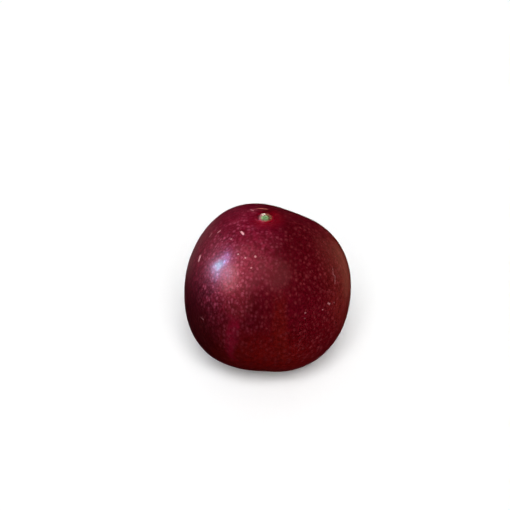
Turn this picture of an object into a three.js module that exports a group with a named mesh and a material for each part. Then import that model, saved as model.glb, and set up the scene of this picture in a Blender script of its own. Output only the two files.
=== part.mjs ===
// A purple passion fruit, as picked: one smooth, slightly lopsided fruit that stands on its
// blossom end, with the scar that its stalk left at the top.
//
// Millimetres, +Z up, and the front of the fruit faces -Y. The origin is on the table, under
// the middle of the fruit.
//
// The skin is one closed surface. Its section is two half superellipses that meet at the
// equator, broad swells and hollows make it uneven, and the stalk's scar is relief on its top.

import * as THREE from 'three';

const { degToRad, smoothstep } = THREE.MathUtils;

// ---- Driving dimensions ----------------------------------------------------------------

// The section. A power of 2 makes an ellipse, and a higher one a squarer curve.
const EQUATOR_RADIUS = 28;
const TOP_HEIGHT = 29.3;
const TOP_POWER = 2;
const BOTTOM_DEPTH = 25.25;
const BOTTOM_POWER = 2.27;

// The small flat spot that the fruit rests on. The skin is round from there up to this angle
// from the bottom, where the swells have faded in.
const REST_RADIUS = 7;
const SWELLS_START = degToRad(32);

// Swells, and hollows where the rise is negative. Each has its longitude from +X and its angle
// down from the top in degrees, how far it spreads in degrees, and its rise in millimetres.
const SWELLS = [
  { longitude: 129, down: 42, spread: 28, rise: 1.4 }, // the full shoulder at the back left
  { longitude: 60, down: 37, spread: 23, rise: -1.25 }, // the flat shoulder at the back right
  { longitude: 18, down: 70, spread: 30, rise: 0.7 }, // the right side above the equator
  { longitude: 5, down: 100, spread: 26, rise: -0.4 }, // the right side below it
  { longitude: 178, down: 82, spread: 26, rise: -0.3 }, // the left side
  { longitude: -148, down: 127, spread: 28, rise: 1 }, // the full corner at the lower left
  { longitude: -57, down: 138, spread: 24, rise: 0.65 }, // the full corner at the lower right
  { longitude: -94, down: 146, spread: 22, rise: -1 }, // the flat stretch between the two
];

// The stalk's scar sits a little to the left of the fruit's axis, in a wide shallow dimple.
const SCAR_X = -0.75;
const SCAR_SHIFT_REACH = 13;
const DIMPLE = { radius: 5.5, depth: 0.8 };

// The end of the stalk is a low dome inside a corky collar, with a moat round the collar. The
// collar stands highest towards one side.
const STUB = { radius: 1.3, rise: 0.18 };
const COLLAR = { radius: 2, halfWidth: 0.38, rise: 0.34, unevenness: 0.3, highSide: degToRad(120) };
const MOAT = { radius: 2.95, halfWidth: 0.5, depth: 0.22 };

// How finely the surface is drawn: meridians, the rings round the scar by their distance from
// its middle in millimetres, and the angle between the rings further down.
const MERIDIANS = 72;
const SCAR_RINGS = [0, 0.65, 1.1, 1.4, 1.7, 2, 2.3, 2.6, 2.95, 3.4, 4.1, 5, 6.2, 7.8];
const RING_STEP = degToRad(4.6);

const SKIN_COLOR = '#5e1020';

// ---- Values worked out from them ---------------------------------------------------------

// How far the rest spot lies below the equator, and the angle down to its rim.
const REST_DEPTH =
  BOTTOM_DEPTH * (1 - (REST_RADIUS / EQUATOR_RADIUS) ** BOTTOM_POWER) ** (1 / BOTTOM_POWER);
const REST_ANGLE = Math.atan2(REST_RADIUS, REST_DEPTH);

// A unit vector at a longitude and an angle down from the top.
function heading(longitude, down) {
  const across = Math.sin(down);
  return new THREE.Vector3(
    across * Math.cos(longitude),
    across * Math.sin(longitude),
    Math.cos(down),
  );
}

const swells = SWELLS.map(({ longitude, down, spread, rise }) => ({
  middle: heading(degToRad(longitude), degToRad(down)),
  spread: degToRad(spread),
  rise,
}));

// ---- The surface ---------------------------------------------------------------------------

// A smooth hump, 1 at its middle and nearly 0 at twice its width from there.
function hump(distance, width) {
  return Math.exp(-((distance / width) ** 2));
}

// The round body's radius at an angle down from the top, with the rest spot cut flat.
function bodyRadius(down) {
  if (down > Math.PI - REST_ANGLE) {
    return REST_DEPTH / -Math.cos(down);
  }
  const top = down < Math.PI / 2;
  const reach = top ? TOP_HEIGHT : BOTTOM_DEPTH;
  const power = top ? TOP_POWER : BOTTOM_POWER;
  const across = Math.sin(down) / EQUATOR_RADIUS;
  const along = Math.abs(Math.cos(down)) / reach;
  return (across ** power + along ** power) ** (-1 / power);
}

// What the swells add to that radius, which fades to nothing towards the rest spot.
function swellHeight(direction, down) {
  const fade = smoothstep(Math.PI - down, REST_ANGLE, SWELLS_START);
  return swells.reduce(
    (sum, { middle, spread, rise }) => sum + rise * fade * hump(direction.angleTo(middle), spread),
    0,
  );
}

// The relief of the scar at a distance over the skin from its middle, towards a longitude.
function scarRelief(distance, longitude) {
  const lift = 1 + COLLAR.unevenness * Math.cos(longitude - COLLAR.highSide);
  return (
    STUB.rise * hump(distance, STUB.radius) +
    COLLAR.rise * lift * hump(distance - COLLAR.radius, COLLAR.halfWidth) -
    MOAT.depth * hump(distance - MOAT.radius, MOAT.halfWidth) -
    DIMPLE.depth * hump(distance, DIMPLE.radius)
  );
}

// The point of the skin in a direction from the middle of the equator.
function skinPoint(direction) {
  const down = Math.atan2(Math.hypot(direction.x, direction.y), direction.z);
  const longitude = Math.atan2(direction.y, direction.x);
  const distance = down * TOP_HEIGHT;
  const radius =
    bodyRadius(down) + swellHeight(direction, down) + scarRelief(distance, longitude);
  const point = direction.clone().multiplyScalar(radius);
  point.x += SCAR_X * hump(distance, SCAR_SHIFT_REACH);
  return point;
}

// The angles down from the top of every ring, both poles included.
function ringAngles() {
  const scar = SCAR_RINGS.map((distance) => distance / TOP_HEIGHT);
  const start = scar.at(-1);
  const end = Math.PI - REST_ANGLE;
  const count = Math.round((end - start) / RING_STEP);
  const body = Array.from({ length: count }, (_, i) => start + ((i + 1) / count) * (end - start));
  return [...scar, ...body, Math.PI];
}

// A unit sphere on those rings, with every vertex then moved out to the skin.
function skinGeometry() {
  const profile = ringAngles().map((down) => new THREE.Vector2(Math.sin(down), Math.cos(down)));
  const geometry = new THREE.LatheGeometry(profile.reverse(), MERIDIANS);
  geometry.rotateX(Math.PI / 2);
  const position = geometry.getAttribute('position');
  const direction = new THREE.Vector3();
  for (let i = 0; i < position.count; i++) {
    const { x, y, z } = skinPoint(direction.fromBufferAttribute(position, i).normalize());
    position.setXYZ(i, x, y, z);
  }
  geometry.computeVertexNormals();
  return geometry;
}

// ---- The fruit -----------------------------------------------------------------------------

const geometry = skinGeometry();
const skin = new THREE.MeshStandardMaterial({ color: SKIN_COLOR, roughness: 0.38, metalness: 0 });
const fruit = new THREE.Mesh(geometry, skin);
fruit.name = 'passion_fruit';

// It stands on the table, with the middle of its outline over the origin.
geometry.computeBoundingBox();
const middle = geometry.boundingBox.getCenter(new THREE.Vector3());
fruit.position.set(-middle.x, -middle.y, -geometry.boundingBox.min.z);

const model = new THREE.Group();
model.add(fruit);

export default model;
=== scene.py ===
# %% [markdown]
# # A ripe purple passion fruit
#
# A passion fruit is a thin, tough rind round a soft inside. It is nearly a ball, a little
# uneven, with the scar of its stalk at the top. This lesson starts from the fruit's plain
# solid, which has the right place and size but a coarse surface. It gives it a fine skin, its
# colours and a soft light. Everything is in metres, the fruit stands on z = 0, and its front
# faces -Y. A longitude is counted from +X, so the front is at -90 degrees and the left at 180.

# %% Load the solid
import math
import random

import bmesh
import bpy
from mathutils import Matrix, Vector, noise
from mathutils.bvhtree import BVHTree


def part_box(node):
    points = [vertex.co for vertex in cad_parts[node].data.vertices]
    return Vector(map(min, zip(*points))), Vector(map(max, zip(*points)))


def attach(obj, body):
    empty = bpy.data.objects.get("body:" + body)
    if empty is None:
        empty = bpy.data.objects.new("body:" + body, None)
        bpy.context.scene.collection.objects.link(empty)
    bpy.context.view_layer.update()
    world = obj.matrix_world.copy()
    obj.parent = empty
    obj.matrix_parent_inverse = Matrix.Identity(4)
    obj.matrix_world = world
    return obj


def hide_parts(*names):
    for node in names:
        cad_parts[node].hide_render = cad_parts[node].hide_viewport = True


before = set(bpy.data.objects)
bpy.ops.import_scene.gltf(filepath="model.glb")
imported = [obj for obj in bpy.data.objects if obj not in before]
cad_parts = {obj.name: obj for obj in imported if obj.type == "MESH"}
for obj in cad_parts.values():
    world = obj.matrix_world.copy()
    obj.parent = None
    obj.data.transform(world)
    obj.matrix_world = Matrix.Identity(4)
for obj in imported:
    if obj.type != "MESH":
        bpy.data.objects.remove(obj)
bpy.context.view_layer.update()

MM = 0.001
lowest, highest = (Vector(corner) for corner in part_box("passion_fruit"))
print("the solid's size, mm:", [round(side / MM, 2) for side in highest - lowest])

# %% [markdown]
# ## The round body
#
# Seen from the side, the fruit is two half ovals that meet at its widest place. The lower one
# is flatter and a little squarer. A superellipse draws both: its power is 2 for an ellipse
# and more for a squarer curve. Writing the shape as a formula, instead of smoothing the coarse
# solid, keeps every point exact however fine the mesh is. A direction from the middle of the
# widest section goes in, and a radius comes out. Lengths in the formulas are in millimetres.

# %% The section
WIDEST_RADIUS = 28.0
TOP_HEIGHT, TOP_POWER = 29.3, 2.0
BOTTOM_DEPTH, BOTTOM_POWER = 25.25, 2.27
REST_RADIUS = 7.0  # of the small flat spot that it stands on

rest_share = (REST_RADIUS / WIDEST_RADIUS) ** BOTTOM_POWER
REST_DEPTH = BOTTOM_DEPTH * (1 - rest_share) ** (1 / BOTTOM_POWER)
REST_ANGLE = math.atan2(REST_RADIUS, REST_DEPTH)


def body_radius(down):
    """The round body's radius at an angle down from the top."""
    if down > math.pi - REST_ANGLE:
        return REST_DEPTH / -math.cos(down)
    top = down < math.pi / 2
    reach, power = (TOP_HEIGHT, TOP_POWER) if top else (BOTTOM_DEPTH, BOTTOM_POWER)
    across = math.sin(down) / WIDEST_RADIUS
    along = abs(math.cos(down)) / reach
    return (across**power + along**power) ** (-1 / power)


print("widest section above the table, mm:", round(REST_DEPTH, 2))

# %% [markdown]
# ## Swells and hollows
#
# No fruit is a perfect ball. A few broad swells and hollows, each a smooth hump on the round
# body, give this one its full shoulders and flat stretches. Noise adds dents too shallow to
# see in the outline, which break up what the rind mirrors. All of them fade out towards the
# bottom, so that the flat spot stays flat.

# %% The uneven body
SWELLS = (  # longitude, angle down from the top and spread in degrees, then the rise in mm
    (129, 42, 28, 1.4),  # the full shoulder at the back left
    (60, 37, 23, -1.25),  # the flat shoulder at the back right
    (18, 70, 30, 0.7),  # the right side above the widest section
    (5, 100, 26, -0.4),  # the right side below it
    (178, 82, 26, -0.3),  # the left side
    (-148, 127, 28, 1.0),  # the full corner at the lower left
    (-57, 138, 24, 0.65),  # the full corner at the lower right
    (-94, 146, 22, -1.0),  # the flat stretch between the two
)
SWELLS_START = math.radians(32)  # the angle up from the bottom where they are at full height
DENTS = ((9.0, 0.12), (2.6, 0.012))  # the length and the rise of their waves, in mm


def hump(distance, width):
    """1 at the middle, and nearly 0 at twice the width from there."""
    return math.exp(-((distance / width) ** 2))


def smoothstep(value, low, high):
    """0 where value is at low, 1 where it is at high, and a smooth step between."""
    t = min(max((value - low) / (high - low), 0), 1)
    return t * t * (3 - 2 * t)


def heading(longitude, down):
    """The unit vector at a longitude and an angle down from the top, in degrees."""
    longitude, down = math.radians(longitude), math.radians(down)
    across = math.sin(down)
    return Vector((across * math.cos(longitude), across * math.sin(longitude), math.cos(down)))


swells = [
    (heading(longitude, down), math.radians(spread), rise)
    for longitude, down, spread, rise in SWELLS
]


def swell_height(direction, down):
    """The rise of all the swells together in one direction, in millimetres."""
    fade = smoothstep(math.pi - down, REST_ANGLE, SWELLS_START)
    rise = sum(rise * hump(direction.angle(middle), spread) for middle, spread, rise in swells)
    for wave, height in DENTS:
        rise += height * noise.noise(direction * WIDEST_RADIUS / wave)
    return fade * rise


sample = heading(-148, 127)
print("rise at the lower left corner, mm:", round(swell_height(sample, math.radians(127)), 2))

# %% [markdown]
# ## The scar of the stalk
#
# The stalk snapped off when the fruit was ripe. It left a low green dome inside a corky collar,
# sunk in a wide shallow dimple, with a moat where the collar meets the skin. Rings of smooth
# humps make all four. The collar is uneven: it stands highest on one side, and noise wrinkles
# it as drying cork does.

# %% Relief of the scar
SCAR_X = -0.75  # it sits a little to the left of the fruit's axis
SCAR_SHIFT_REACH = 13.0  # how far round it the skin is shifted with it
DIMPLE_RADIUS, DIMPLE_DEPTH = 5.5, 0.8
STUB_RADIUS, STUB_RISE = 1.3, 0.18
COLLAR_RADIUS, COLLAR_HALF_WIDTH, COLLAR_RISE = 2.0, 0.38, 0.34
COLLAR_UNEVENNESS, COLLAR_HIGH_SIDE = 0.3, math.radians(120)
MOAT_RADIUS, MOAT_HALF_WIDTH, MOAT_DEPTH = 2.95, 0.5, 0.22
WRINKLE_RISE, WRINKLES_PER_MM = 0.16, 1.6


def scar_relief(direction, distance, longitude):
    """The relief at a distance over the skin from the scar's middle, towards a longitude."""
    lift = 1 + COLLAR_UNEVENNESS * math.cos(longitude - COLLAR_HIGH_SIDE)
    wrinkle = noise.noise(direction * TOP_HEIGHT * WRINKLES_PER_MM) * hump(distance, COLLAR_RADIUS)
    return (
        STUB_RISE * hump(distance, STUB_RADIUS)
        + COLLAR_RISE * lift * hump(distance - COLLAR_RADIUS, COLLAR_HALF_WIDTH)
        - MOAT_DEPTH * hump(distance - MOAT_RADIUS, MOAT_HALF_WIDTH)
        - DIMPLE_DEPTH * hump(distance, DIMPLE_RADIUS)
        + WRINKLE_RISE * wrinkle
    )


print("relief in the scar's middle, mm:", round(scar_relief(Vector((0, 0, 1)), 0, 0), 2))

# %% [markdown]
# ## Cork marks
#
# Leaves and tendrils rub the young fruit, and it heals each scratch with a little welt of cork.
# Most are short pale dashes. A russet crescent lies behind the stalk's scar, and the flower
# left a round brown spot at the other end, beside the flat spot. Each mark is a stroke along
# one or more points. They are few and they stand proud of the skin, so they are real relief.
# A last few, drawn at random from a fixed seed, are scattered over the back.

# %% Strokes of cork
PALE, RUSSET = "pale_cork", "russet_cork"
STROKES = [  # kind, half width and rise in mm, then the longitude and angle down of its points
    # Dashes and a speck to the left of the scar, and down the left shoulder.
    (PALE, 0.30, 0.14, ((-140.4, 20.7), (-133.3, 21.4))),
    (PALE, 0.30, 0.06, ((-171.3, 33.4), (-171.8, 31.5))),
    (PALE, 0.30, 0.05, ((-175.6, 40.4), (-177.8, 38.3))),
    (PALE, 0.55, 0.10, ((-163.2, 54.6), (-165.2, 52.6))),
    (PALE, 0.22, 0.05, ((133.9, 14.2), (134.6, 11.6))),
    (PALE, 0.30, 0.06, ((-144.4, 28.6),)),
    # Specks on the front shoulder.
    (PALE, 0.26, 0.05, ((-113.8, 36.1),)),
    (PALE, 0.28, 0.045, ((-105.3, 41.6),)),
    (PALE, 0.32, 0.045, ((-103.0, 34.0),)),
    (PALE, 0.26, 0.05, ((-123.1, 35.1),)),
    # A thin squiggle on the right, with marks below it.
    (PALE, 0.14, 0.014, ((-26.9, 55.5), (-29.6, 58.4), (-28.4, 60.6), (-32.0, 64.4))),
    (PALE, 0.30, 0.026, ((-43.4, 73.2), (-42.2, 74.3))),
    (PALE, 0.26, 0.022, ((-49.3, 75.2),)),
    (PALE, 0.32, 0.013, ((-63.4, 72.9),)),
    (PALE, 0.26, 0.008, ((-64.2, 76.5),)),
    (PALE, 0.24, 0.015, ((-37.6, 75.4),)),
    # A dash on the left side.
    (PALE, 0.24, 0.04, ((-139.4, 86.0), (-136.8, 86.2))),
    # The crescent behind the scar, and the spot at the blossom end.
    (RUSSET, 0.42, 0.08, ((114.0, 12.6), (103.6, 12.1), (88.0, 10.9))),
    (RUSSET, 1.10, 0.22, ((48.0, 160.0),)),
]
BACK_MARKS = 16
SEED = 11  # a fixed one, so that the marks are the same each time
chance = random.Random(SEED)
for _ in range(BACK_MARKS):
    longitude, down = chance.uniform(12, 168), chance.uniform(76, 142)
    length, slope = chance.uniform(0, 3.0), chance.uniform(0, math.tau)
    across = length * math.cos(slope) / math.sin(math.radians(down))
    path = ((longitude, down), (longitude + across, down + length * math.sin(slope)))
    STROKES.append((PALE, chance.uniform(0.15, 0.30), chance.uniform(0.04, 0.10), path))

strokes = [
    (kind, half, rise, [heading(*point) for point in path])
    for kind, half, rise, path in STROKES
]

# %% How corky a place is
FULL_CORK = 0.10  # the rise in mm from which cork hides the red below it
LONGEST_STROKE = 0.25  # in radians over the skin
TINY = 1e-12  # stands in for the length of a stroke that is a single point
RAGGEDNESS, RAGS_PER_MM = 0.12, 2.5  # of a mark's outline
OUTER_EDGE, INNER_EDGE = 1.3, 0.6  # where its slope starts and ends, in half widths


def to_segment(point, start, end):
    """The distance from a point to the straight line between two others."""
    along = end - start
    share = (point - start).dot(along) / max(along.length_squared, TINY)
    return (point - start - along * min(max(share, 0), 1)).length


def to_stroke(direction, path):
    """The distance over the skin from a direction to a stroke, in millimetres."""
    far = (direction - path[0]).length
    if far > LONGEST_STROKE:
        return far * WIDEST_RADIUS
    pairs = zip(path, path[1:] or path)
    return WIDEST_RADIUS * min(to_segment(direction, *ends) for ends in pairs)


def cork(direction):
    """How much of each kind of cork lies in a direction, from 0 to 1, and its rise in mm."""
    masks, lift = {PALE: 0.0, RUSSET: 0.0}, 0.0
    ragged = RAGGEDNESS * noise.noise(direction * WIDEST_RADIUS * RAGS_PER_MM)
    for kind, half, rise, path in strokes:
        distance = to_stroke(direction, path) + ragged
        mask = smoothstep(distance, half * OUTER_EDGE, half * INNER_EDGE)
        masks[kind] = max(masks[kind], mask * min(rise / FULL_CORK, 1))
        lift = max(lift, mask * rise)
    return masks, lift


print("strokes of cork:", len(strokes))

# %% [markdown]
# ## The skin
#
# A ball of equal triangles has no poles and no seams, so an icosphere is the right start. Its
# triangles are half a millimetre wide, which draws the body well but not the scar or the cork.
# The edges near those are cut in half, twice. Then every vertex moves out to where the formula
# puts the skin, so the new vertices lie as exactly as the old ones. Each vertex also keeps how
# corky it is, for the colours to read.

# %% Where the skin lies
UP = Vector((0, 0, 1))


def skin_point(direction, lift):
    """The point of the skin in a direction, in millimetres, with the cork's rise added."""
    down = direction.angle(UP)
    distance = down * TOP_HEIGHT
    radius = body_radius(down) + swell_height(direction, down) + lift
    if down < math.pi / 2:
        radius += scar_relief(direction, distance, math.atan2(direction.y, direction.x))
    point = direction * radius
    point.x += SCAR_X * hump(distance, SCAR_SHIFT_REACH)
    return point


print("top of the skin above the widest section, mm:", round(skin_point(UP, 0).z, 2))

# %% Cut the ball finely where the detail is
BALL_CUTS = 7
SCAR_CUTS = (9.0, 6.0)  # how far from the scar's middle each halving reaches, in mm
CORK_CUTS = (1.3, 0.9)  # and from each stroke

bm = bmesh.new()
bmesh.ops.create_icosphere(bm, subdivisions=BALL_CUTS, radius=1)
for scar_reach, cork_reach in zip(SCAR_CUTS, CORK_CUTS):
    near = set()
    for v in bm.verts:
        direction = v.co.normalized()
        if direction.angle(UP) * TOP_HEIGHT < scar_reach:
            near.add(v)
        elif any(to_stroke(direction, path) < half + cork_reach for _, half, _, path in strokes):
            near.add(v)
    edges = [edge for edge in bm.edges if near.intersection(edge.verts)]
    bmesh.ops.subdivide_edges(bm, edges=edges, cuts=1, use_grid_fill=True)
    bmesh.ops.triangulate(bm, faces=[face for face in bm.faces if len(face.verts) > 3])
print("the ball's triangles:", len(bm.faces))

# %% Move every vertex to the skin
layers = {kind: bm.verts.layers.float.new(kind) for kind in (PALE, RUSSET)}
for v in bm.verts:
    direction = v.co.normalized()
    masks, lift = cork(direction)
    for kind, mask in masks.items():
        v[layers[kind]] = mask
    v.co = skin_point(direction, lift)
print("vertices in pale cork:", sum(v[layers[PALE]] > 0 for v in bm.verts))

# %% Stand it on the table, over the origin
centre = [(min(v.co[i] for v in bm.verts) + max(v.co[i] for v in bm.verts)) / 2 for i in (0, 1)]
place = Vector((-centre[0], -centre[1], REST_DEPTH))
for v in bm.verts:
    v.co = (v.co + place) * MM
for face in bm.faces:
    face.smooth = True
mesh = bpy.data.meshes.new("fruit_skin")
bm.to_mesh(mesh)
bm.free()
fruit = bpy.data.objects.new("fruit_skin", mesh)
bpy.context.collection.objects.link(fruit)
print("the skin moved by, mm:", [round(side, 3) for side in place])

# %% Measure the skin against the solid
EVERY = 7  # one vertex in so many is enough
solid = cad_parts["passion_fruit"]
tree = BVHTree.FromObject(solid, bpy.context.evaluated_depsgraph_get())
gaps = [tree.find_nearest(v.co)[3] / MM for v in list(mesh.vertices)[::EVERY]]
print("skin to solid, mm: mean", round(sum(gaps) / len(gaps), 3), "most", round(max(gaps), 3))

# %% Put the skin in the solid's place
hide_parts("passion_fruit")
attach(fruit, "root")
print("triangles in place of the solid:", len(mesh.polygons))

# %% [markdown]
# ## Sums on sockets
#
# A material is a sum: this much red, plus a mask times that much brown. Nodes do such sums, but
# a hundred of them are hard to read. The class below wraps a socket so that Python's own signs
# add the Math nodes, and its one method `node` adds any other node.


# %% A socket that does sums
def find_socket(sockets, name):
    """A socket by its number, or by its name or identifier."""
    if isinstance(name, int):
        return sockets[name]
    return next(socket for socket in sockets if name in (socket.identifier, socket.name))


class Wire:
    """A node's output socket."""

    def __init__(self, socket):
        self.socket = socket

    def node(self, kind, settings=None, sockets=None, output=None):
        """Adds a node, sets its settings and then its sockets, and returns one of its outputs."""
        node_tree = self.socket.id_data
        made = node_tree.nodes.new(kind)
        for name, setting in (settings or {}).items():
            setattr(made, name, setting)
        for name, value in (sockets or {}).items():
            socket = find_socket(made.inputs, name)
            if isinstance(value, Wire):
                node_tree.links.new(value.socket, socket)
            else:
                socket.default_value = value
        if made.outputs:
            return Wire(find_socket(made.outputs, output or 0))

    def math(self, operation, first, second):
        return self.node("ShaderNodeMath", {"operation": operation}, {0: first, 1: second})

    def __getitem__(self, name):
        """Another output of the same node."""
        return Wire(find_socket(self.socket.node.outputs, name))

    def __add__(self, other):
        return self.math("ADD", self, other)

    def __sub__(self, other):
        return self.math("SUBTRACT", self, other)

    def __rsub__(self, other):
        return self.math("SUBTRACT", other, self)

    def __mul__(self, other):
        return self.math("MULTIPLY", self, other)

    def __pow__(self, other):
        return self.math("POWER", self, other)

    __radd__ = __add__
    __rmul__ = __mul__


# %% Masks and colours
def rises(value, low, high):
    """0 where value is at low, 1 where it is at high, and a smooth step between."""
    settings = {"interpolation_type": "SMOOTHSTEP"}
    sockets = {"Value": value, "From Min": low, "From Max": high}
    return value.node("ShaderNodeMapRange", settings, sockets, "Result")


def mixed(factor, start, end):
    """The colour start where factor is 0, and end where it is 1."""
    sockets = {"Factor_Float": factor, "A_Color": start, "B_Color": end}
    return factor.node("ShaderNodeMix", {"data_type": "RGBA"}, sockets, "Result_Color")


def screen(red, green, blue):
    """The linear colour of the numbers, 0 to 255, that a screen shows it with."""
    shares = (channel / 255 for channel in (red, green, blue))
    linear = (s / 12.92 if s <= 0.04045 else ((s + 0.055) / 1.055) ** 2.4 for s in shares)
    return (*linear, 1.0)


print("half grey on a screen, in linear light:", round(screen(128, 128, 128)[0], 3))

# %% [markdown]
# ## Patterns on the rind
#
# A ripe rind is never one even red. Its colours change in soft patches and in streaks that run
# from the stalk to the blossom end. A painted image would need seams on a ball, so each patch
# is a formula: how far a point lies towards a heading, with noise added so that its edge
# wanders. All patterns read the Object coordinates, in millimetres, so they keep their scale.

# %% Start the rind's material
rind = bpy.data.materials.new("ripe_rind")
rind.use_nodes = True
rind.node_tree.nodes.clear()
position = Wire(rind.node_tree.nodes.new("ShaderNodeTexCoord").outputs["Object"])


def vector_math(operation, first, second=(0, 0, 0), output="Vector"):
    settings, sockets = {"operation": operation}, {0: first, 1: second}
    return position.node("ShaderNodeVectorMath", settings, sockets, output)


# The spot on the rind, in millimetres from the middle of the widest section.
spot = vector_math("MULTIPLY", position, (1 / MM, 1 / MM, 1 / MM))
spot = vector_math("SUBTRACT", spot, tuple(place))
x = spot.node("ShaderNodeSeparateXYZ", sockets={0: spot}, output="X")
y, z = x["Y"], x["Z"]
print("nodes for the place on the rind:", len(rind.node_tree.nodes))

# %% Noise
PATCHES_PER_MM, MOTTLES_PER_MM = 0.08, 0.35


def cloud(scale, detail=2.0, coordinates=spot):
    """Soft noise from 0 to 1, with about scale waves to the millimetre."""
    sockets = {"Vector": coordinates, "Scale": scale, "Detail": detail}
    return spot.node("ShaderNodeTexNoise", {"noise_dimensions": "3D"}, sockets, "Fac")


patches = cloud(PATCHES_PER_MM) - 0.5
mottle = cloud(MOTTLES_PER_MM, 3.0) - 0.5
print("length of the waves, mm:", 1 / PATCHES_PER_MM, "and", round(1 / MOTTLES_PER_MM, 1))

# %% Patches and streaks
PATCH_CORE = 0.25  # the share of a patch's spread that has its full strength
PATCH_WANDER = 0.12  # how far its edge wanders, as a share of the fruit's radius
STREAK_WANDER, STREAK_SHAKE = 6, 2  # how far a streak wanders off its line, in mm
FADE_OUTSIDE, FADE_INSIDE = 4, 2  # where it fades at its ends, in mm


def beside(longitude, down):
    """How far a point lies from the middle towards a heading, in millimetres."""
    return vector_math("DOT_PRODUCT", spot, tuple(heading(longitude, down)), "Value")


def blush(longitude, down, spread):
    """A soft patch round a heading, as wide as the spread in degrees to each side."""
    closeness = beside(longitude, down) * (1 / WIDEST_RADIUS) + patches * PATCH_WANDER
    edge, core = math.radians(spread), math.radians(spread * PATCH_CORE)
    return rises(closeness, math.cos(edge), math.cos(core))


def streak(longitude, half_width, top, bottom):
    """A soft band down one meridian, between two heights above the widest section."""
    off_line = beside(longitude + 90, 90) + patches * STREAK_WANDER + mottle * STREAK_SHAKE
    near_side = rises(beside(longitude, 90), 0.0, 5.0)
    band = rises(off_line * off_line, half_width**2, 0.0) * near_side
    upper_end = rises(z, top + FADE_OUTSIDE, top - FADE_INSIDE)
    lower_end = rises(z, bottom - FADE_OUTSIDE, bottom + FADE_INSIDE)
    return band * upper_end * lower_end


print("nodes for patterns:", len(rind.node_tree.nodes))

# %% [markdown]
# ## Ground colour
#
# The whole rind is deep wine red, more purple on top and a brighter red low in front, which is
# partly painted light from below. A painted sheen makes the upper left a lighter wine. The right
# side is russet, partly painted warm light from the right. Two places are darkened with painted
# shade. A dark band of painted shade, a magenta and a rusty streak run down the front. The
# colours are mixed one over the other, from the broadest to the finest, so each can be changed
# alone: a mask says where a colour lies, and the number it is multiplied by says how fully it
# covers. Last comes a fine grain, of strands that run lengthwise and of specks, because no rind
# is smooth up close.

# %% The reds
RIPE_RED = screen(62, 2, 6)
BRIGHT_RED_AND_LIGHT_FROM_BELOW = screen(82, 6, 4)
WINE = screen(62, 2, 12)
DEEP_WINE_AND_SHADE = screen(42, 0, 2)
MAGENTA = screen(110, 8, 32)
EMBER = screen(78, 11, 6)
RUSSET_AND_WARM_LIGHT = screen(82, 24, 17)
PAINTED_SHEEN_WINE = screen(90, 2, 24)

height = z + patches * 40 + mottle * 10  # the border between the reds wanders widely
ground = mixed(rises(height, -8.0, 24.0), RIPE_RED, WINE)
# Painted sheen: the upper left is made a lighter, pinker wine.
sheen_side = blush(-160, 36, 48)
ground = mixed(sheen_side * 0.7, ground, PAINTED_SHEEN_WINE)
print("nodes with the first reds:", len(rind.node_tree.nodes))

# %% Patches and streaks of other reds
PATCHES = (  # longitude, angle down and spread in degrees, strength and colour
    # partly painted light: a brighter red low in front, as light from below would give
    (-98, 122, 48, 1.0, BRIGHT_RED_AND_LIGHT_FROM_BELOW),  # low in front
    # a russet side, partly painted warm light from the right
    (-5, 75, 46, 0.6, RUSSET_AND_WARM_LIGHT),  # the right side
    # painted shade, between the russet side and the scar
    (-40, 42, 36, 0.5, DEEP_WINE_AND_SHADE),  # between that and the scar
    # painted shade, low on the left
    (-160, 98, 48, 0.9, DEEP_WINE_AND_SHADE),  # low on the left
)
STREAKS = (  # longitude, then half width, top and bottom in mm, strength and colour
    # the first streak is painted shade, a dark band down the front
    (-100, 4.0, 15.0, 5.0, 0.7, DEEP_WINE_AND_SHADE),
    (-114, 2.2, 6.0, -9.0, 0.7, MAGENTA),
    (-81, 3.5, 13.0, -10.0, 0.6, EMBER),
)
for *shape, strength, colour in PATCHES:
    ground = mixed(blush(*shape) * strength, ground, colour)
for *shape, strength, colour in STREAKS:
    ground = mixed(streak(*shape) * strength, ground, colour)
print("patches:", len(PATCHES), "streaks:", len(STREAKS))

# %% Fine grain
LENGTHWISE = (1.0, 1.0, 0.15)  # noise squeezed upright makes strands that run down the fruit
STRAND_STRENGTH, GRAIN_STRENGTH = 0.3, 0.5
strands = cloud(0.45, 2.0, vector_math("MULTIPLY", spot, LENGTHWISE))
ground = mixed(rises(strands, 0.5, 0.75) * STRAND_STRENGTH, ground, DEEP_WINE_AND_SHADE)
grain = cloud(0.9, 1.0)
ground = mixed(rises(grain, 0.35, 0.65) * GRAIN_STRENGTH, ground, DEEP_WINE_AND_SHADE)
print("nodes with the grain:", len(rind.node_tree.nodes))

# %% [markdown]
# ## Pores
#
# Thousands of small pale pores dot the rind. A Voronoi texture puts one at random in each cell
# of a grid, but the cells fill space, and the skin would cut most of them off their middle. So
# each middle is first moved straight out to the skin, and its dot is drawn there at full size.
# Two grids, a coarse one and a fine one, look less even than one. The dots are taller than
# wide, because the rind grew most that way. On the upper left they are paler and blur into
# blotches, which is a painted sheen, and in three places they are sparse.

# %% Two sizes of pores
DOT_NARROWING = (1.0, 1.0, 0.75)  # up and down counts less, so the dots are taller than wide
FAINTEST = 0.2  # the strength of the smallest dots; the largest have 1
outward = vector_math("NORMALIZE", spot)


def dots(per_mm, small, large):
    """Soft dots of random radii in millimetres between small and large, per_mm in a row."""
    sockets = {"Vector": spot, "Scale": per_mm}
    cell = spot.node("ShaderNodeTexVoronoi", {"feature": "F1"}, sockets, "Position")
    luck = spot.node("ShaderNodeSeparateColor", sockets={0: cell["Color"]}, output="Red")
    gap = vector_math("SUBTRACT", outward, vector_math("NORMALIZE", cell))
    gap = vector_math("LENGTH", vector_math("MULTIPLY", gap, DOT_NARROWING), output="Value")
    radius = luck * (large - small) + small
    strength = luck * luck * (1 - FAINTEST) + FAINTEST
    return rises(gap * WIDEST_RADIUS, radius, 0.0) * strength


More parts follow.
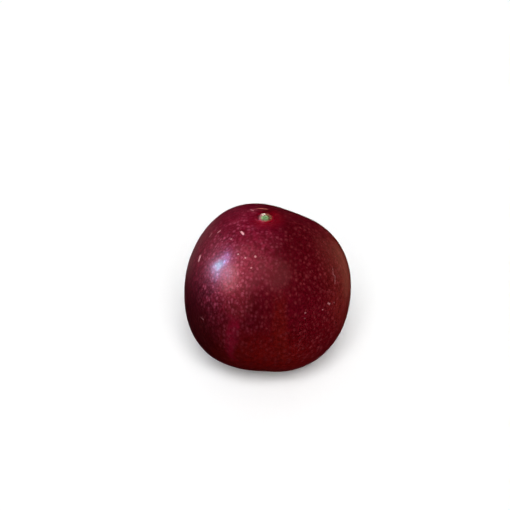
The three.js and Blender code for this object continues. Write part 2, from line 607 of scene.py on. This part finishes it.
coarse_dots = dots(0.66, 0.40, 0.80)
fine_dots = dots(1.1, 0.30, 0.60)
print("nodes with the dots:", len(rind.node_tree.nodes))

# %% Where the pores crowd
SPARSE_PLACES = ((-46, 62, 44), (-92, 90, 38), (-80, 28, 24))  # each a blush
THINNING = 0.35

crowding = rises(cloud(0.12), 0.3, 0.6) * 0.4 + 0.6
for sparse_place in SPARSE_PLACES:
    crowding = crowding * (1 - blush(*sparse_place) * THINNING)
# Painted sheen: the pores are paler on the upper left and round the highlight.
painted_sheen_side = blush(-152, 42, 50) + blush(-116, 76, 26) * 0.35
pores = coarse_dots * crowding
fine_pores = fine_dots * crowding
print("places where the pores are sparse:", len(SPARSE_PLACES))

# %% Colour the pores, the fine ones first
PORE = screen(98, 34, 38)
PAINTED_SHEEN_PORE = screen(152, 62, 84)
FINE_PORE = screen(74, 14, 19)
PAINTED_SHEEN_FINE_PORE = screen(124, 28, 50)
# These blotches and the paler pores are painted sheen.
sheen_blotches = rises(cloud(0.75, 2.5), 0.45, 0.68)
ground = mixed(sheen_blotches * painted_sheen_side * 0.5, ground, PAINTED_SHEEN_FINE_PORE)
ground = mixed(fine_pores * 0.7, ground, mixed(painted_sheen_side, FINE_PORE, PAINTED_SHEEN_FINE_PORE))
ground = mixed(pores * 0.9, ground, mixed(painted_sheen_side, PORE, PAINTED_SHEEN_PORE))
print("nodes with the pores:", len(rind.node_tree.nodes))

# %% [markdown]
# ## Colours of the scar and of the cork
#
# The stalk's scar is green in the middle, where it is youngest, and olive on one side. The
# collar goes from grey pink to brown, with a tan patch in front and a cream one behind at the
# left, which is partly a painted highlight. The rind right beside it is a clear red, and dark
# behind it. The masks are circles round the scar's middle, made to wander by noise. The cork's
# masks are the ones kept on the vertices, so its colour lies exactly on its relief.

# %% The scar
SPOT_CORE = 0.35  # the share of a spot's reach that has its full strength
from_scar_x = x - SCAR_X
on_top = rises(z, 20.0, 23.0)  # keeps its colours off the bottom, which has the same x and y


def near_scar(right, back, reach):
    """A soft spot round a place beside the scar's middle, in millimetres."""
    square = (from_scar_x - right) ** 2 + (y - back) ** 2
    return rises(square, reach**2, (reach * SPOT_CORE) ** 2) * on_top


wobble = (cloud(1.3) - 0.5) * 0.7  # in millimetres
from_scar = (from_scar_x**2 + y**2) ** 0.5 + wobble
COLLAR_EDGE, CORE_EDGE = 2.4, 1.55  # their radii, in mm
collar = rises(from_scar, COLLAR_EDGE, 1.85) * on_top
core = rises(from_scar, CORE_EDGE, 1.15) * on_top
print("width of the collar and of its core, mm:", 2 * COLLAR_EDGE, "and", 2 * CORE_EDGE)

# %% The scar's colours
COLLAR_BROWN = screen(100, 60, 44)
COLLAR_PINK = screen(128, 84, 84)
COLLAR_CREAM_AND_HIGHLIGHT = screen(176, 163, 150)
COLLAR_TAN = screen(112, 94, 74)
CORE_GREEN = screen(96, 124, 84)
CORE_OLIVE = screen(76, 76, 48)
FLUSH = screen(109, 0, 12)

in_front = rises(from_scar_x - y * 0.7, -6.0, 0.0)
flush = rises(from_scar, 7.5, 2.6) * in_front * on_top
ground = mixed(flush * 0.5, ground, FLUSH)
ground = mixed(near_scar(0.4, 4.2, 2.2) * 0.7, ground, DEEP_WINE_AND_SHADE)
collar_colour = mixed(rises(from_scar_x, 0.8, -1.4), COLLAR_BROWN, COLLAR_PINK)
collar_colour = mixed(near_scar(-0.4, -1.7, 1.6), collar_colour, COLLAR_TAN)
# Partly a painted highlight: the cream patch at the collar's back left.
collar_colour = mixed(near_scar(-0.6, 1.7, 0.75), collar_colour, COLLAR_CREAM_AND_HIGHLIGHT)
core_colour = mixed(rises(from_scar_x, 0.2, 1.3), CORE_GREEN, CORE_OLIVE)
ground = mixed(collar, ground, collar_colour)
ground = mixed(core, ground, core_colour)
print("nodes with the scar:", len(rind.node_tree.nodes))

# %% The cork
PALE_CORK = screen(210, 148, 152)
RUSSET_CORK = screen(150, 82, 72)
pale = position.node("ShaderNodeAttribute", {"attribute_name": PALE}, output="Fac")
russet = position.node("ShaderNodeAttribute", {"attribute_name": RUSSET}, output="Fac")
ground = mixed(russet * (cloud(1.2) * 0.5 + 0.5), ground, RUSSET_CORK)
ground = mixed(pale * 0.9, ground, PALE_CORK)
print("kinds of cork:", len(layers))

# %% [markdown]
# ## Shine
#
# Two things shine on a rind. Light goes a little way into its red outer cells and comes back as
# a broad, rosy sheen, so the shader's main highlight is rough and tinted. A thin wax on top,
# the coat, mirrors more sharply and has no colour. The wax is thicker on the pores, most of all
# on the upper left, where a sheen is also painted into the colour, so they catch the light.
# Russet cork is dull, so it is rougher.
# What is too low to be real relief, faint waves and the rise of the pores, is left to a bump.

# %% Finish
FINE_WAVES, WAVES, PORE_RISE = 0.05, 0.04, 0.02  # the bump's heights, in mm
RED_SHEEN = (1.0, 0.12, 0.16, 1.0)
WAX, PORE_WAX, SHEEN_SIDE_WAX = 0.18, 0.2, 0.15  # weights of the coat
relief = cloud(0.8, 1.0) * FINE_WAVES + cloud(0.4) * WAVES + (pores + fine_pores) * PORE_RISE
bump = position.node("ShaderNodeBump", sockets={"Height": relief, "Distance": MM}, output="Normal")
finish = position.node(
    "ShaderNodeBsdfPrincipled",
    sockets={
        "Base Color": ground,
        "Roughness": russet * 0.2 + 0.35,
        "Specular IOR Level": 0.5,
        "Specular Tint": RED_SHEEN,
        "Coat Weight": WAX + (pores + fine_pores * 0.4) * (sheen_side * SHEEN_SIDE_WAX + PORE_WAX),
        "Coat Roughness": 0.2,
        "Normal": bump,
    },
    output="BSDF",
)
position.node("ShaderNodeOutputMaterial", sockets={"Surface": finish})
mesh.materials.append(rind)
print("nodes in the rind's material:", len(rind.node_tree.nodes))

# %% [markdown]
# ## The table
#
# The fruit stands on a plain white table: one big square, so wide that none of its edges is
# in view. A real white table throws much light back, and the fruit's underside would lose its
# depth. In a studio, dark cards round the fruit take it away again. Here the table's own
# switches do it: the camera sees it and the fruit's shadow falls on it, but it doesn't light
# the fruit, it isn't mirrored in the wax, and lamps shine through it from below.

# %% Table
TABLE_HALF = 3.0  # in metres
TABLE_WHITE = (0.98, 0.98, 0.98, 1)
bm = bmesh.new()
bmesh.ops.create_grid(bm, x_segments=1, y_segments=1, size=TABLE_HALF)
table_mesh = bpy.data.meshes.new("table")
bm.to_mesh(table_mesh)
bm.free()
table = bpy.data.objects.new("table", table_mesh)
bpy.context.collection.objects.link(table)

# %% Its switches and its paint
table.visible_diffuse = False
table.visible_glossy = False
table.visible_shadow = False
white = bpy.data.materials.new("white_table")
white.use_nodes = True
paint = white.node_tree.nodes["Principled BSDF"]
paint.inputs["Base Color"].default_value = TABLE_WHITE
paint.inputs["Roughness"].default_value = 1.0
paint.inputs["Specular IOR Level"].default_value = 0.0
table_mesh.materials.append(white)
print("width of the table, m:", 2 * TABLE_HALF)

# %% [markdown]
# ## The light
#
# Fruit is often lit in a tent of white cloth. A sun lamp with a wide angle stands for one side
# of such a tent: its light comes from a whole patch of sky. But one lamp can't do all the
# work, because a light broad enough for the deep colours also lies on the wax as a grey veil.
# So the jobs are split. Broad white tents light the rind's colours and aren't mirrored. A
# second set lights the table alone, and how wide and how high its lamps are sets how soft and
# how long the shadow is. The rest are only mirrored: small cool window panes at the left for
# the highlight, and dim glows round them and for the rims, warm as if other fruits stood near.

# %% Towards the lights
def compass(azimuth, elevation):
    """The unit vector towards an azimuth, from the front to the right, and an elevation."""
    return heading(azimuth - 90, 90 - elevation)


def hang(name, light, azimuth, elevation, distance):
    """Hangs a lamp at a distance from the fruit's middle and faces it."""
    lamp = bpy.data.objects.new(name, light)
    toward = compass(azimuth, elevation)
    lamp.location = place * MM + toward * distance
    lamp.rotation_euler = toward.to_track_quat("Z", "Y").to_euler()
    lamp.visible_camera = False
    bpy.context.collection.objects.link(lamp)
    return lamp


print("towards a lamp at the front right:", [round(side, 2) for side in compass(45, 30)])

# %% One side of the tent
LAMP_DISTANCE = 1.0  # in metres; for a sun it makes no difference


def tent(name, azimuth, elevation, spread, strength, colour=(1, 1, 1)):
    """A round light endlessly far away; its spread is the angle that it fills, in degrees.

    A white surface that faces a lamp of strength 1 comes out white.
    """
    light = bpy.data.lights.new(name, "SUN")
    light.angle = math.radians(spread)
    light.energy = strength * math.pi
    light.color = colour
    return hang(name, light, azimuth, elevation, LAMP_DISTANCE)


def lights_only(lamp, piece):
    """Makes a lamp light one object alone; the others still cast their shadows in it."""
    receivers = bpy.data.collections.new(lamp.name + "_receivers")
    receivers.objects.link(piece)
    lamp.light_linking.receiver_collection = receivers


# %% The lamps for the colours and for the table
diffuse = (  # name, azimuth, elevation and spread in degrees, strength, and what it lights
    (tent("key_tent", 52, 35, 110, 1.91), fruit),
    (tent("left_tent", -70, 35, 110, 0.24), fruit),
    (tent("top_tent", 0, 85, 120, 0.20), fruit),
    (tent("low_tent", 60, -40, 100, 0.23), fruit),
    (tent("back_tent", 180, 10, 100, 0.60), fruit),
    (tent("table_high_tent", 0, 55, 40, 0.60), table),
    (tent("table_low_tent", 0, 38, 50, 0.65), table),
    (tent("table_left_tent", -60, 40, 60, 0.05), table),
    (tent("table_right_tent", 60, 40, 60, 0.05), table),
    (tent("table_back_tent", 180, 50, 90, 0.16), table),
)
for lamp, piece in diffuse:
    lights_only(lamp, piece)
    lamp.visible_glossy = False
    lamp.data.cycles.use_multiple_importance_sampling = False
print("lamps that light colours:", len(diffuse))

# %% A window pane
PANE_DISTANCE = 0.6  # in metres


def panel(name, azimuth, elevation, width, height, radiance, colour):
    """A flat lamp; its width and height are the angles that it fills, in degrees."""
    light = bpy.data.lights.new(name, "AREA")
    light.shape = "RECTANGLE"
    light.size = 2 * PANE_DISTANCE * math.tan(math.radians(width / 2))
    light.size_y = 2 * PANE_DISTANCE * math.tan(math.radians(height / 2))
    light.energy = radiance * math.pi * light.size * light.size_y
    light.color = colour
    return hang(name, light, azimuth, elevation, PANE_DISTANCE)


# %% The mirrored lamps
mirrored = (
    # The window: name, azimuth, elevation, width and height in degrees, radiance, colour.
    panel("window", -90, 26, 8, 8, 86.0, (0.18, 0.80, 1.0)),
    panel("window_low", -94, 21, 8, 8, 37.0, (0.40, 0.55, 1.0)),
    panel("window_side", -82, 20, 10, 12, 21.0, (0.26, 0.55, 1.0)),
    panel("window_high", -86, 32, 10, 8, 30.0, (0.05, 0.46, 1.0)),
    panel("window_top", -92, 38, 14, 8, 28.0, (0.34, 0.42, 1.0)),
    panel("window_right", -66, 29, 10, 10, 12.0, (0.20, 0.55, 1.0)),
    # The glows: name, azimuth, elevation and spread in degrees, strength, colour.
    tent("window_glow", -65, 28, 30, 0.44, (1.0, 0.93, 0.93)),
    tent("left_glow", -100, 25, 44, 0.16, (1.0, 0.45, 0.50)),
    tent("ceiling_left", -55, 50, 60, 0.43, (1.0, 0.95, 0.94)),
    tent("ceiling_middle", 20, 50, 40, 0.17, (1.0, 0.89, 0.84)),
    tent("ceiling_top", -60, 75, 60, 0.08, (1.0, 1.0, 1.0)),
    tent("front_glow", -40, 10, 40, 0.09, (1.0, 0.50, 0.40)),
    tent("left_edge", -128, 4, 30, 0.015, (1.0, 0.33, 0.34)),
    tent("left_rim", -150, -15, 24, 0.008, (1.0, 0.60, 0.60)),
    tent("warm_side", 120, 10, 40, 0.034, (1.0, 0.50, 0.36)),
    tent("warm_edge", 135, -15, 30, 0.024, (1.0, 0.50, 0.30)),
)
for lamp in mirrored:
    lamp.visible_diffuse = False
print("lamps that are only mirrored:", len(mirrored))

# %% [markdown]
# ## The backdrop
#
# Behind the table all is white. If the world were simply white, it would light the fruit from
# every side and undo the work of the lamps. So it shines only for the rays that come straight
# from the camera, and is black for all others.

# %% The backdrop
scene = bpy.context.scene
world = bpy.data.worlds.new("white_backdrop")
scene.world = world
world.use_nodes = True
world.node_tree.nodes.clear()
seen = Wire(world.node_tree.nodes.new("ShaderNodeLightPath").outputs["Is Camera Ray"])
background = {"Color": (1, 1, 1, 1), "Strength": seen}
glow = seen.node("ShaderNodeBackground", sockets=background, output="Background")
glow.node("ShaderNodeOutputWorld", sockets={"Surface": glow})
print("nodes of the backdrop:", len(world.node_tree.nodes))

# %% [markdown]
# ## The camera
#
# The camera looks down on the fruit from in front, so that the scar shows its flat oval and
# the fruit still stands on its table. It stands seven fruits away with a long lens, because a
# camera close by would swell the near side. It aims a little left of the fruit and above it,
# which leaves room round the fruit. The plain "Standard" view keeps the white table white.

# %% Camera
CAMERA_ELEVATION = 35
CAMERA_DISTANCE = 0.4  # in metres
LENS, SENSOR = 84, 36  # in millimetres, as lenses are sold
AIM_LEFT, AIM_ABOVE = 4.17, 11.9  # of the fruit's middle, in millimetres
camera_data = bpy.data.cameras.new("camera")
camera_data.lens = LENS
camera_data.sensor_width = SENSOR
camera = bpy.data.objects.new("camera", camera_data)
toward_camera = compass(0, CAMERA_ELEVATION)
upward = compass(180, 90 - CAMERA_ELEVATION)
camera.location = place * MM + toward_camera * CAMERA_DISTANCE
aim = (place + Vector((-AIM_LEFT, 0, 0)) + upward * AIM_ABOVE) * MM
camera.rotation_euler = (camera.location - aim).to_track_quat("Z", "Y").to_euler()
bpy.context.collection.objects.link(camera)
scene.camera = camera
scene.view_settings.view_transform = "Standard"
print("camera's height above the table, m:", round(camera.location.z, 3))
